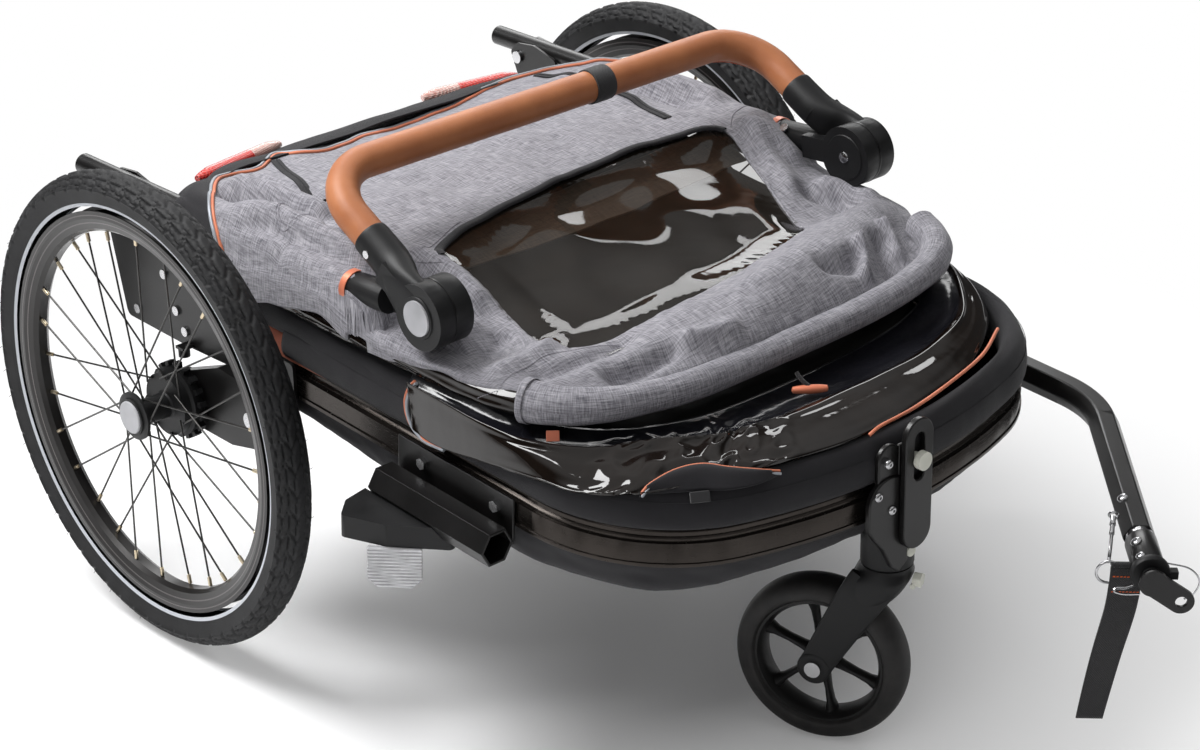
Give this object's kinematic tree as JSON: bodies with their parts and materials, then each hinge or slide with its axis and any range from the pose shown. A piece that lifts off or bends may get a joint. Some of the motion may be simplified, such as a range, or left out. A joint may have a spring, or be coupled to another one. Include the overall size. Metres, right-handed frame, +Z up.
{
  "type": "bicycle trailer",
  "caption": "Folded child bicycle trailer: flat rounded frame with bundled fabric cabin, spoked wheels, caster, push bar and side drawbar.",
  "frame": {"origin": "middle of the outline, on the floor the wheels stand on", "axes": "+X to the drawbar's side, -Y to the front where the caster is, +Z up"},
  "size_m": [0.7742, 1.1837, 0.554],
  "materials": {
    "frame_grey": "satin",
    "silver": "satin",
    "steel": "satin",
    "black_paint": "satin",
    "black_plastic": "matte",
    "grey_plastic": "matte",
    "white_plastic": "matte",
    "copper_plastic": "satin",
    "tyre": "matte",
    "rubber": "matte",
    "melange": "woven",
    "rust_fabric": "woven",
    "black_fabric": "woven",
    "film": "gloss",
    "tan_grip": "satin",
    "red_lens": "gloss",
    "clear_lens": "gloss"
  },
  "bodies": {
    "chassis": {"floor_rail": "frame_grey", "cross_tubes": "black_paint", "side_plates": "black_paint", "inner_cheeks": "black_paint", "fold_bolts": "steel", "arm_pivots": "steel", "suspension_buffers": "rubber", "chassis_bolts": "steel", "receivers": "black_paint", "wing_covers": "black_plastic", "side_reflectors": "clear_lens", "tail_lights": "red_lens", "stem_bracket": "black_paint", "bracket_screws": "steel", "stem_housing": "black_plastic", "floor_tub": "black_fabric", "bumper_band": "black_fabric", "folded_cabin": "black_fabric", "cabin_sides": "rust_fabric", "rain_film": "film", "rear_panel": "black_fabric"},
    "release_knob": {"release_knob": "white_plastic"},
    "stem_button": {"stem_button": "grey_plastic"},
    "caster_fork": {"caster_fork": "black_plastic", "caster_axle": "steel"},
    "lock_lever": {"lock_lever": "white_plastic"},
    "caster_wheel": {"caster_rim": "black_plastic", "caster_tyre": "tyre"},
    "roll_frame": {"roll_frame": "black_paint", "handle_bases": "black_plastic", "arm_cuffs": "copper_plastic", "canopy": "melange", "canopy_hem": "melange", "canopy_window": "film"},
    "handle": {"handle_arms": "black_plastic", "push_bar": "silver", "push_bar_grip": "tan_grip", "wrist_band": "black_fabric", "handle_screws": "steel"},
    "handle_button_right": {"handle_button_right": "grey_plastic"},
    "handle_button_left": {"handle_button_left": "grey_plastic"},
    "drawbar": {"drawbar_tube": "black_paint", "hitch_spring": "steel", "coupling": "black_plastic", "safety_strap": "black_fabric", "snap_hook": "steel"},
    "hitch_plate": {"hitch_plate": "steel", "hitch_collar": "steel"},
    "suspension_arm_right": {"suspension_arm_right": "black_paint"},
    "wheel_right": {"tyre_right": "tyre", "rim_right": "black_paint", "spokes_right": "steel", "hub_right": "black_paint"},
    "axle_cap_right": {"axle_cap_right": "grey_plastic"},
    "suspension_arm_left": {"suspension_arm_left": "black_paint"},
    "wheel_left": {"tyre_left": "tyre", "rim_left": "black_paint", "spokes_left": "steel", "hub_left": "black_paint"},
    "axle_cap_left": {"axle_cap_left": "grey_plastic"}
  },
  "joints": [
    {"name": "knob_slide", "type": "slide", "parent": "chassis", "child": "release_knob", "axis": [0, 0, 1], "range_m": [0, 0.018], "stiffness_N_per_m": 300, "springref_m": -0.01},
    {"name": "stem_button_slide", "type": "slide", "parent": "chassis", "child": "stem_button", "axis": [0, 1, 0], "range_m": [0, 0.003], "stiffness_N_per_m": 600, "springref_m": -0.004},
    {"name": "caster_swivel", "type": "hinge", "parent": "chassis", "child": "caster_fork", "pos_m": [0, -0.3262, 0.2], "axis": [0, 0, 1], "continuous": true},
    {"name": "lock_lever_hinge", "type": "hinge", "parent": "caster_fork", "child": "lock_lever", "pos_m": [0.01098, -0.35087, 0.1806], "axis": [0.9135, 0.4067, 0], "range_deg": [0, 55]},
    {"name": "caster_spin", "type": "hinge", "parent": "caster_fork", "child": "caster_wheel", "pos_m": [-0.02493, -0.2702, 0.086], "axis": [0.9135, 0.4067, 0], "continuous": true},
    {"name": "roll_frame_fold", "type": "hinge", "parent": "chassis", "child": "roll_frame", "pos_m": [0, 0.4918, 0.428], "axis": [-1, 0, 0], "range_deg": [0, 75]},
    {"name": "handle_tilt", "type": "hinge", "parent": "roll_frame", "child": "handle", "pos_m": [0, -0.0202, 0.448], "axis": [1, 0, 0], "range_deg": [0, 130]},
    {"name": "handle_press_right", "type": "slide", "parent": "handle", "child": "handle_button_right", "axis": [1, 0, 0], "range_m": [0, 0.002], "stiffness_N_per_m": 800, "springref_m": -0.003},
    {"name": "handle_press_left", "type": "slide", "parent": "handle", "child": "handle_button_left", "axis": [-1, 0, 0], "range_m": [0, 0.002], "stiffness_N_per_m": 800, "springref_m": -0.003},
    {"name": "drawbar_slide", "type": "slide", "parent": "chassis", "child": "drawbar", "axis": [0, -0.9982, -0.0593], "range_m": [0, 0.14]},
    {"name": "hitch_swivel", "type": "hinge", "parent": "drawbar", "child": "hitch_plate", "pos_m": [0.1004, -0.55355, 0.23688], "axis": [-0.6769, -0.7348, -0.0437], "range_deg": [-35, 35]},
    {"name": "suspension_right", "type": "hinge", "parent": "chassis", "child": "suspension_arm_right", "pos_m": [-0.311, 0.2298, 0.262], "axis": [1, 0, 0], "range_deg": [0, 5], "stiffness_Nm_per_rad": 90, "springref_deg": -8.02},
    {"name": "wheel_spin_right", "type": "hinge", "parent": "suspension_arm_right", "child": "wheel_right", "pos_m": [-0.3626, 0.3418, 0.25], "axis": [1, 0, 0], "continuous": true},
    {"name": "axle_press_right", "type": "slide", "parent": "wheel_right", "child": "axle_cap_right", "axis": [1, 0, 0], "range_m": [0, 0.002], "stiffness_N_per_m": 600, "springref_m": -0.003},
    {"name": "suspension_left", "type": "hinge", "parent": "chassis", "child": "suspension_arm_left", "pos_m": [0.311, 0.2298, 0.262], "axis": [1, 0, 0], "range_deg": [0, 5], "stiffness_Nm_per_rad": 90, "springref_deg": -8.02},
    {"name": "wheel_spin_left", "type": "hinge", "parent": "suspension_arm_left", "child": "wheel_left", "pos_m": [0.3626, 0.3418, 0.25], "axis": [1, 0, 0], "continuous": true},
    {"name": "axle_press_left", "type": "slide", "parent": "wheel_left", "child": "axle_cap_left", "axis": [-1, 0, 0], "range_m": [0, 0.002], "stiffness_N_per_m": 600, "springref_m": -0.003}
  ]
}
